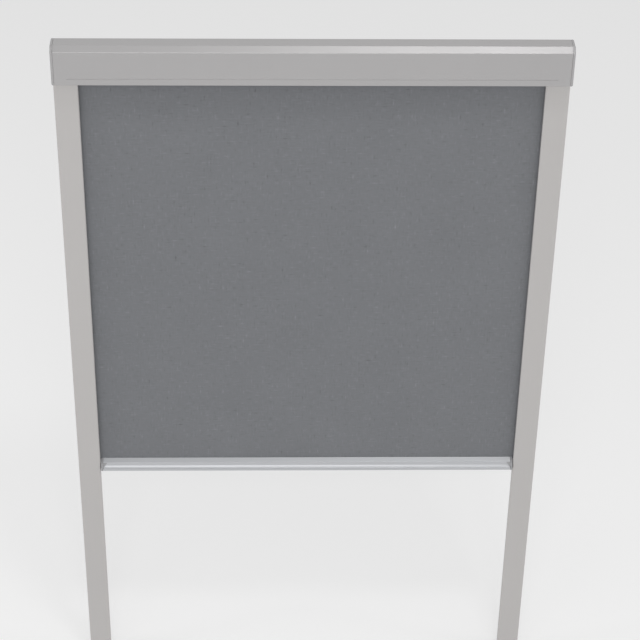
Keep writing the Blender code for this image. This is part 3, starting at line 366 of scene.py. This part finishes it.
# Brackets. Steel plates pressed to shape, which carry the headbox from its ends. They are bright zinc plated,
# and the plating shows a faint grain in bluish and yellowish patches.
plated, given, result = effect("zinc_plating", Colour=COLOUR, Roughness=NUMBER, Patches=NUMBER)
where = new_node(plated, "ShaderNodeTexCoord").outputs["Object"]
patches = noise(plated, where, scale=240.0, detail=3.0, rough=0.6)
scuffs = noise(plated, where, scale=1400.0, detail=2.0, rough=0.7)
bluish, yellowish = (0.93, 0.96, 1.0, 1), (1.0, 0.98, 0.90, 1)
tint = new_node(plated, "ShaderNodeValToRGB")
for stop, position, colour in zip(tint.color_ramp.elements, (0.35, 0.65), (bluish, yellowish)):
    stop.position, stop.color = position, colour
plated.links.new(patches, tint.inputs[0])
tinted = multiplied(plated, given["Colour"], tint.outputs["Color"])
plated.links.new(toned(plated, tinted, (scuffs, 0.12), (patches, given["Patches"])), result["Colour"])
worn = times(plated, minus(plated, scuffs, 0.5), 0.3)
plated.links.new(plus(plated, given["Roughness"], worn), result["Roughness"])
plated.links.new(scuffs, result["Height"])
zinc = finish(
    "zinc_plated_steel",
    plated,
    {"Colour": (0.60, 0.60, 0.60, 1), "Roughness": 0.34, "Patches": 0.1},
    metallic=1.0,
    bump=0.08,
)
for side in ("left", "right"):
    softened(f"bracket_{side}", zinc, "root", edge=0.00015)

# Cap screws. Turned steel with six-lobed recesses, plated like the brackets. Two go through each end cap into
# the ports of the headbox. Their profile runs, as radius and height, from the rim of the crown to the point.
crown_radius, lobe_radius, recess_depth, segments = 0.0016, 0.0011, 0.0009, 24
lobe_reach = (1.0, 0.88, 0.74, 0.88)
screw_profile = (
    (0.00205, -0.0002), (0.0023, -0.0007), (0.0023, -0.0011), (0.0012, -0.0011), (0.0012, -0.0122),
    (0.0005, -0.0134),
)


def between(verts, geometry):
    """The edges among this geometry that have both ends in verts."""
    return [line for line in lines_of(geometry) if all(end in verts for end in line.verts)]


def next_rim(bm, rim):
    """Grows a strip of faces from a rim of edges; gives the vertices and edges of its free side."""
    grown = bmesh.ops.extrude_edge_only(bm, edges=rim)["geom"]
    verts = points_of(grown)
    return verts, between(verts, grown)


for side, out in (("left", -1), ("right", 1)):
    for height in ("upper", "lower"):
        node = f"cap_screw_{side}_{height}"
        low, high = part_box(node)
        centre = (low + high) / 2
        face = high[0] if out > 0 else low[0]
        bm = bmesh.new()
        crown = bmesh.ops.create_circle(bm, segments=segments, radius=crown_radius)["verts"]
        lobes = bmesh.ops.create_circle(bm, segments=segments, radius=lobe_radius)["verts"]
        for index, vert in enumerate(lobes):
            vert.co *= lobe_reach[index % len(lobe_reach)]
        bmesh.ops.bridge_loops(bm, edges=lines_at(crown + lobes))
        verts, bottom = next_rim(bm, between(lobes, bm.edges))
        bmesh.ops.translate(bm, vec=(0, 0, -recess_depth), verts=verts)
        bmesh.ops.contextual_create(bm, geom=bottom)
        rim = between(crown, bm.edges)
        for radius, depth in screw_profile:
            verts, rim = next_rim(bm, rim)
            for vert in verts:
                flat = vert.co.xy.normalized() * radius
                vert.co = (flat.x, flat.y, depth)
        bmesh.ops.contextual_create(bm, geom=rim)
        bmesh.ops.recalc_face_normals(bm, faces=bm.faces)
        turned_out = Matrix.Translation((face, centre.y, centre.z)) @ Matrix.Rotation(out * pi / 2, 4, "Y")
        bmesh.ops.transform(bm, matrix=turned_out, verts=bm.verts)
        piece(f"{node}_six_lobed", bm, zinc, "root", node)

# Spring side of the roller. A plated shaft keyed into the left cap, white plastic hubs, and a torsion spring
# of oiled steel wire that winds the fabric up.
oiled = finish(
    "oiled_spring_steel",
    plated,
    {"Colour": (0.24, 0.24, 0.25, 1), "Roughness": 0.3, "Patches": 0.2},
    metallic=1.0,
    bump=0.1,
)
white_plastic = finish(
    "white_inner_plastic",
    moulded,
    {"Colour": (0.74, 0.74, 0.71, 1), "Roughness": 0.4, "Texture": 0.4, "Clouds": 0.04},
    bump=0.15,
)
softened("spring_shaft", zinc, "root")
softened("spring_anchor", white_plastic, "root", edge=0.0001)
wire_radius, coil_pitch, steps_a_turn = 0.0006, 0.0036, 20
low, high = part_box("torsion_spring")
axis_y = (low[1] + high[1]) / 2
coil_radius = (high[2] - low[2]) / 2 - wire_radius
turns = round((high[0] - low[0] - 2 * wire_radius) / coil_pitch)
start = Matrix.Translation((low[0] + wire_radius, axis_y + coil_radius, 0)) @ Matrix.Rotation(pi / 2, 4, "X")
bm = bmesh.new()
bmesh.ops.create_circle(bm, segments=8, radius=wire_radius, cap_ends=True, matrix=start)
bmesh.ops.spin(
    bm, geom=bm.faces[:] + bm.edges[:] + bm.verts[:], cent=(0, axis_y, 0), axis=(1, 0, 0),
    dvec=(coil_pitch / steps_a_turn, 0, 0), angle=2 * pi * turns, steps=steps_a_turn * turns, use_merge=False,
)
bmesh.ops.recalc_face_normals(bm, faces=bm.faces)
piece("torsion_spring_wire", bm, oiled, "root", "torsion_spring")

# Roller. A thin aluminium tube straight from the mill, on white plastic plugs; a pin turns in a bush on the
# right, and a plastic strip locks the fabric in the groove along the tube.
mill = finish(
    "mill_finish_tube",
    drawn,
    {
        "Colour": (0.66, 0.66, 0.67, 1), "Roughness": 0.3,
        "Die Lines": LINES_ALONG_X, "Line Depth": 0.16, "Clouds": 0.08,
    },
    metallic=1.0,
    bump=0.2,
)
softened("roller_tube", mill, "roller")
for node in ("spring_plug", "idle_plug"):
    softened(node, white_plastic, "roller", edge=0.0001)
softened("idle_pin", zinc, "roller")
softened("idle_bush", white_plastic, "root")
softened("roller_spline", white_plastic, "roller")

# Rails. Aluminium channels, anodised like the headbox, with their die lines running down their length. The
# front wall turns in along the fabric, holes in the side take the fixing screws, and a cap closes each foot.
rail_finish = finish(
    "satin_anodised_rail",
    drawn,
    {
        "Colour": (0.57, 0.553, 0.543, 1), "Roughness": 0.45,
        "Die Lines": LINES_ALONG_Z, "Line Depth": 0.05, "Clouds": 0.04,
    },
    metallic=0.4,
    bump=0.12,
)
for side in ("left", "right"):
    softened(f"rail_{side}", rail_finish, "root", edge=0.0002)
    softened(f"rail_end_cap_{side}", cap_plastic, "root", edge=0.00015)

# Pile strips. Short dark grey fibres stand on a woven base and close the light gaps behind the fabric and
# under the bar; the tips of the fibres are uneven.
fibrous, given, result = effect("short_fibres", Colour=COLOUR, Roughness=NUMBER, Lie=VECTOR)
where = new_node(fibrous, "ShaderNodeTexCoord").outputs["Object"]
fibres = noise(fibrous, multiplied(fibrous, where, given["Lie"]), scale=1.0, detail=4.0, rough=0.7)
fibrous.links.new(toned(fibrous, given["Colour"], (fibres, 1.1)), result["Colour"])
fibrous.links.new(given["Roughness"], result["Roughness"])
fibrous.links.new(fibres, result["Height"])
pile = finish(
    "grey_pile",
    fibrous,
    {"Colour": (0.10, 0.10, 0.105, 1), "Roughness": 0.95, "Lie": (4200.0, 900.0, 4200.0)},
    bump=0.8,
    depth=0.0003,
)


def base_and_fibres(middle, base_at, base_half, tip_at, half):
    """The profile of a strip of pile: a base of half width base_half, and the narrower fibres on it."""
    base = 0.0007
    step = base_at + (base if tip_at > base_at else -base)
    return [
        (middle - base_half, base_at), (middle + base_half, base_at), (middle + base_half, step),
        (middle + half, step), (middle + half, tip_at), (middle - half, tip_at), (middle - half, step),
        (middle - base_half, step),
    ]


def bristled(node, profile, start, end, along, axis, tip_at, body):
    """A strip of pile drawn out along its node, whose tips stop short of tip_at by uneven amounts."""
    tuft, shortfall = 0.0015, 0.0004
    bm = extruded(profile, start, end, along)
    long = [line for line in bm.edges if line.calc_length() > 0.1]
    bmesh.ops.subdivide_edges(bm, edges=long, cuts=int((end - start) / tuft))
    chance = Random(5)
    for vert in bm.verts:
        if abs(vert.co[axis] - tip_at) < 1e-6:
            vert.co[axis] += shortfall * chance.random()
    piece(f"{node}_bristled", bm, pile, body, node, angle=60)


rail_pile_half, seal_pile_half = 0.0012, 0.0011
for side in ("left", "right"):
    node = f"rail_pile_{side}"
    low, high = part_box(node)
    middle, base_half = (low[0] + high[0]) / 2, (high[0] - low[0]) / 2
    profile = base_and_fibres(middle, high[1], base_half, low[1], rail_pile_half)
    bristled(node, profile, low[2], high[2], ALONG_Z, 1, low[1], "root")
seal_low, seal_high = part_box("bar_seal")
seal_at, seal_base = (seal_low[1] + seal_high[1]) / 2, (seal_high[1] - seal_low[1]) / 2
profile = base_and_fibres(seal_at, seal_high[2], seal_base, seal_low[2], seal_pile_half)
bristled("bar_seal", profile, seal_low[0], seal_high[0], ALONG_X, 2, seal_low[2], "bar")

# Bottom bar. An extrusion like the headbox, in a slightly brighter anodising: a sloping top that runs into a
# shallow hollow for the fingers, and a lip below it that leans back a little. A slit in the top opens into
# the round groove for the hem, and a slot underneath holds the pile.
bar_finish = finish(
    "satin_anodised_bar",
    drawn,
    {
        "Colour": (0.56, 0.57, 0.59, 1), "Roughness": 0.37,
        "Die Lines": LINES_ALONG_X, "Line Depth": 0.05, "Clouds": 0.04,
    },
    metallic=0.45,
    bump=0.1,
)
low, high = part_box("bottom_bar")
front, back, foot, bar_top = low[1], high[1], low[2], high[2]
wall, play = 0.0012, 0.0003
rod_low, rod_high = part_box("hem_spline")
sheet_at, rod_at = (rod_low[1] + rod_high[1]) / 2, (rod_low[2] + rod_high[2]) / 2
rod_radius = (rod_high[1] - rod_low[1]) / 2
slit, groove = 0.0005, 0.0021
open_angle, groove_steps = asin(slit / groove), 24
hem_groove = []
for step in range(groove_steps + 1):
    angle = pi / 2 + open_angle + (2 * pi - 2 * open_angle) * step / groove_steps
    hem_groove.append((sheet_at - groove * cos(angle), rod_at + groove * sin(angle)))
seal_half, seal_mouth = seal_base + play, seal_pile_half + play
seal_roof, seal_lip = seal_high[2] + play, 0.0008
seal_slot = [
    (seal_at - seal_mouth, foot), (seal_at - seal_mouth, foot + seal_lip),
    (seal_at - seal_half, foot + seal_lip), (seal_at - seal_half, seal_roof),
    (seal_at + seal_half, seal_roof), (seal_at + seal_half, foot + seal_lip),
    (seal_at + seal_mouth, foot + seal_lip), (seal_at + seal_mouth, foot),
]


def hollowed(start, end, sag, steps):
    """Points of an arc from start to end whose middle lies sag off the straight line."""
    chord = end - start
    radius = sag / 2 + chord.length_squared / (8 * sag)
    hub = (start + end) / 2 + Vector((chord.y, -chord.x)).normalized() * (radius - sag)
    turn_from, turn_to = (atan2((point - hub).y, (point - hub).x) for point in (start, end))
    turned = (turn_to - turn_from + pi) % (2 * pi) - pi
    angles = [turn_from + turned * step / steps for step in range(steps + 1)]
    return [(hub.x + radius * cos(angle), hub.y + radius * sin(angle)) for angle in angles]


slope_start = Vector((0, sheet_at - slit, bar_top))
slope_end = Vector((0, front + 0.0040, bar_top - 0.0036))
grip_start, grip_end = Vector((front + 0.0042, bar_top - 0.0039)), Vector((front + 0.0005, foot + 0.0044))
grip = hollowed(grip_start, grip_end, sag=0.0009, steps=18)
lip_lean, lip_top = 0.0004, foot + 0.0042
edge, back_edge, slope_edge = 0.0005, 0.0004, 0.0003
outline = [
    (back, foot, edge), (back, bar_top, back_edge), (sheet_at + slit, bar_top), *hem_groove,
    (sheet_at - slit, bar_top), (slope_end.y, slope_end.z, slope_edge), *grip, (front, lip_top),
    (front + lip_lean, foot, edge), *seal_slot,
]
room_front, room_back = front + wall, back - wall
room_foot, room_knee, room_top = seal_roof + wall, foot + 0.0035, rod_at - groove - wall
room = [
    (room_back, room_foot), (room_front, room_foot), (room_front, room_knee),
    (max(grip)[0] + 1.2 * wall, room_top), (room_back, room_top),
]
bm = extruded(outline, low[0], high[0], ALONG_X, room)
piece("bottom_bar_extrusion", bm, bar_finish, "bar", "bottom_bar", angle=24)

# Bar ends, rod and brakes. The ends are moulded in mid grey, flush with the bar's slope, and their tongues
# run in the rails; in each, a leaf spring presses a felt pad on the rail. A white rod in the bar's groove
# holds the hem.
bar_plastic = finish(
    "grey_bar_plastic",
    moulded,
    {"Colour": (0.37, 0.37, 0.38, 1), "Roughness": 0.5, "Texture": 1.0, "Clouds": 0.05},
    bump=0.25,
)
felt = finish(
    "brake_felt",
    fibrous,
    {"Colour": (0.06, 0.06, 0.062, 1), "Roughness": 0.98, "Lie": (2600.0, 2600.0, 2600.0)},
    bump=0.9,
    depth=0.0003,
)


def dress(node, material):
    """Gives a node of the frame its finish."""
    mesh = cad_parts[node].data
    mesh.materials.clear()
    mesh.materials.append(material)


slope_out = (slope_start - slope_end).cross(Vector((-1, 0, 0))).normalized()
for side in ("left", "right"):
    softened(
        f"bar_end_{side}", bar_plastic, "bar", edge=0.00012, shave=(slope_start, slope_out)
    )
    dress(f"brake_pad_{side}", felt)
    dress(f"brake_spring_{side}", oiled)
softened("hem_spline", white_plastic, "bar")

# Fabric. Blackout cloth: a fine plain weave in mid grey towards the room, with a smooth light-proof coating
# on its back. It comes off the back of the roll, hangs under tension and goes round the rod in the bar.
def slubs(tree, place, scale):
    """Yarn that is mostly even, with a short lighter or darker place here and there."""
    usual = 0.49
    level = minus(tree, noise(tree, multiplied(tree, place, scale), scale=1.0, detail=0.0), usual)
    return plus(tree, times(tree, times(tree, level, level), level), 0.5)


weave, given, result = effect(
    "fine_plain_weave", Colour=COLOUR, Threads=NUMBER, Contrast=NUMBER,
    Weft_Slubs=VECTOR, Warp_Slubs=VECTOR, Slub_Contrast=NUMBER,
)
where = new_node(weave, "ShaderNodeUVMap", uv_map="cloth").outputs["UV"]
split = new_node(weave, "ShaderNodeSeparateXYZ")
weave.links.new(where, split.inputs[0])
weft = times(weave, split.outputs["X"], given["Threads"])
warp = times(weave, split.outputs["Y"], given["Threads"])
crossing = plus(weave, maths(weave, "FLOOR", weft), maths(weave, "FLOOR", warp))
over = maths(weave, "MODULO", maths(weave, "ABSOLUTE", crossing), 2.0)
round_warp, round_weft = (
    maths(weave, "ABSOLUTE", maths(weave, "SINE", times(weave, threads, pi))) for threads in (weft, warp)
)
# The cloth's colour is painted lighter along each thread's crown and darker where it dips under its
# neighbour: painted shade between the threads, over the same relief that the bump gives.
crown = plus(weave, times(weave, over, round_warp), times(weave, minus(weave, 1.0, over), round_weft))
weft_slubs, warp_slubs = (slubs(weave, where, given[label]) for label in ("Weft Slubs", "Warp Slubs"))
broad = noise(weave, where, scale=14.0, detail=3.0, rough=0.6)
uneven = given["Slub Contrast"]
tone = toned(
    weave, given["Colour"], (crown, given["Contrast"]), (weft_slubs, uneven), (warp_slubs, uneven),
    (broad, 0.12),
)
weave.links.new(tone, result["Colour"])
weave.links.new(minus(weave, 0.92, times(weave, crown, 0.08)), result["Roughness"])
weave.links.new(
    plus(weave, crown, times(weave, plus(weave, weft_slubs, warp_slubs), 8.0)), result["Height"]
)
# Contrast sets the strength of the painted shade between the threads.
cloth = finish(
    "blackout_weave",
    weave,
    {
        "Colour": (0.202, 0.208, 0.221, 1), "Threads": 2200.0, "Contrast": 0.22,
        "Weft Slubs": (110.0, 480.0, 1.0), "Warp Slubs": (480.0, 110.0, 1.0), "Slub Contrast": 3.6,
    },
    bump=0.35,
    depth=0.00012,
)
shader = cloth.node_tree.nodes["Principled BSDF"]
shader.inputs["Sheen Weight"].default_value = 0.15
shader.inputs["Sheen Roughness"].default_value = 0.6
shader.inputs["Specular IOR Level"].default_value = 0.25
coating = finish(
    "light_proof_coating",
    moulded,
    {"Colour": (0.40, 0.41, 0.42, 1), "Roughness": 0.6, "Texture": 0.5, "Clouds": 0.06},
    bump=0.15,
)
low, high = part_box("fabric")
thickness, fabric_y, cloth_half, gap = high[1] - low[1], (low[1] + high[1]) / 2, high[0], 0.0002


def laid_cloth(name, route, across, body):
    """Cloth drawn edge to edge through (y, z) points, with its own thickness and a UV map in metres."""
    bm = bmesh.new()
    lay = bm.loops.layers.uv.new("cloth")
    gone = bm.verts.layers.float.new("gone")
    verts = [bm.verts.new((x, *route[0])) for x in across]
    rim = [bm.edges.new(pair) for pair in zip(verts, verts[1:])]
    length = 0.0
    for before, after in zip(route, route[1:]):
        length += hypot(after[0] - before[0], after[1] - before[1])
        verts, rim = next_rim(bm, rim)
        for vert in verts:
            vert.co.y, vert.co.z = after
            vert[gone] = length
    for face in bm.faces:
        for loop in face.loops:
            loop[lay].uv = (loop.vert.co.x, loop.vert[gone])
    mesh = bpy.data.meshes.new(name)
    bm.to_mesh(mesh)
    bm.free()
    mesh.attributes.remove(mesh.attributes["gone"])
    mesh.materials.append(cloth)
    mesh.materials.append(coating)
    mesh.shade_smooth()
    obj = bpy.data.objects.new(name, mesh)
    bpy.context.scene.collection.objects.link(obj)
    skin = obj.modifiers.new("thickness", "SOLIDIFY")
    skin.thickness = thickness
    skin.offset = 0
    skin.material_offset = 1
    skin.material_offset_rim = 0
    if body:
        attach(obj, body)
    return obj, length


def columns(half, count):
    """x positions across a cloth; one lies close to each edge, so the shading turns only there."""
    border = 0.0015
    inner = half - border
    return [-half, *(inner * (2 * step / count - 1) for step in range(count + 1)), half]


# The turns still on the roller, seen as a spiral at its ends; the last one ends where the fabric leaves it.
tube_low, tube_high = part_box("roller_tube")
tube_radius, roll_radius = (tube_high[2] - tube_low[2]) / 2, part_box("fabric_roll")[1][2]
inner, outer = tube_radius + gap + thickness / 2, roll_radius - thickness / 2
air, points_a_turn = 0.00002, 40
wraps = (outer - inner) / (thickness + air)
count = int(wraps * points_a_turn)
spiral = []
for index in range(count + 1):
    angle = -2 * pi * wraps * (1 - index / count)
    radius = inner + (outer - inner) * index / count
    spiral.append((axis_y + radius * cos(angle), radius * sin(angle)))
wound, length = laid_cloth("wound_fabric", spiral, columns(cloth_half, 4), "roller")
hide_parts("fabric_roll")

# The drawn part, from the roll down into the bar, where its last rows are gripped.
clear = 0.0003
away = roll_radius + clear + thickness / 2
bar_mouth, gripped, rows = bar_top + gap, (0.0018, 0.0030), 60
route = [(axis_y + away * cos(radians(angle)), away * sin(radians(angle))) for angle in (12, 8, 4)]
route += [(fabric_y, bar_mouth * step / rows) for step in range(rows + 1)]
route += [(fabric_y, bar_top - depth) for depth in gripped]
fabric, length = laid_cloth("drawn_fabric", route, columns(cloth_half, 24), None)
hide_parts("fabric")
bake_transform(fabric)

# The hem, turned round the rod in the bar.
turn, hem_half = rod_radius + gap + thickness / 2, rod_high[0] - 0.0004
angles = [radians(angle) for angle in range(21, 340, 11)]
round_rod = [(fabric_y + turn * sin(angle), rod_at + turn * cos(angle)) for angle in angles]
hem, length = laid_cloth("hem_loop", round_rod, columns(hem_half, 8), "bar")

# Floor and light. A pale floor just below the rails' feet, which glows a little where it is seen, and an even
# white surround. Soft lights: a large one from the room with a weak one beside it, a small high one that the
# headbox's chamfer reflects, one at each side for the edges of the rails, and one behind for the top.
floor_half, under_the_feet, glow = 12, 0.001, 0.2
floor = bpy.data.objects.new("floor", bpy.data.meshes.new("floor"))
level = Matrix.Translation((0, 0, cad_box[0][2] - under_the_feet))
bm = bmesh.new()
bmesh.ops.create_grid(bm, x_segments=1, y_segments=1, size=floor_half, matrix=level)
bm.to_mesh(floor.data)
bm.free()
bpy.context.scene.collection.objects.link(floor)
pale = bpy.data.materials.new("pale_floor")
pale.use_nodes = True
shader = pale.node_tree.nodes["Principled BSDF"]
shader.inputs["Base Color"].default_value = (0.80, 0.80, 0.80, 1)
shader.inputs["Roughness"].default_value = 0.9
shader.inputs["Specular IOR Level"].default_value = 0.0
shader.inputs["Emission Color"].default_value = (1, 1, 1, 1)
ray = new_node(pale.node_tree, "ShaderNodeLightPath").outputs
mirrored = maths(pale.node_tree, "MAXIMUM", ray["Is Glossy Ray"], ray["Is Transmission Ray"])
seen = maths(pale.node_tree, "MAXIMUM", ray["Is Camera Ray"], mirrored)
pale.node_tree.links.new(times(pale.node_tree, seen, glow), shader.inputs["Emission Strength"])
floor.data.materials.append(pale)

surround = bpy.data.worlds.new("even_surround")
surround.use_nodes = True
white = surround.node_tree.nodes["Background"].inputs
white["Color"].default_value = (1, 1, 1, 1)
white["Strength"].default_value = 0.62
bpy.context.scene.world = surround


def soft_light(name, place, aim, width, height, power):
    lamp = bpy.data.objects.new(name, bpy.data.lights.new(name, "AREA"))
    lamp.data.shape = "RECTANGLE"
    lamp.data.size, lamp.data.size_y = width, height
    lamp.data.energy = power
    lamp.location = place
    lamp.rotation_euler = (Vector(place) - Vector(aim)).to_track_quat("Z", "Y").to_euler()
    bpy.context.scene.collection.objects.link(lamp)


soft_light("room_light", (-0.1, -2.6, 1.2), (0, 0, -0.4), 1.0, 0.8, 13)
soft_light("small_high_light", (0.44, -1.075, 2.06), (0.19, -0.03, -0.2), 0.45, 0.35, 5.2)
soft_light("left_near_light", (-0.9, -1.8, 0.5), (0, 0, -0.3), 0.8, 0.8, 1.5)
soft_light("left_side_light", (-2.4, -0.35, 0.4), (0, 0, -0.4), 0.8, 1.2, 7)
soft_light("right_side_light", (2.4, -0.35, 0.4), (0, 0, -0.4), 0.8, 1.2, 5)
soft_light("high_back_light", (0, 1.8, 1.7), (0, 0, 0), 1.6, 0.6, 2.5)
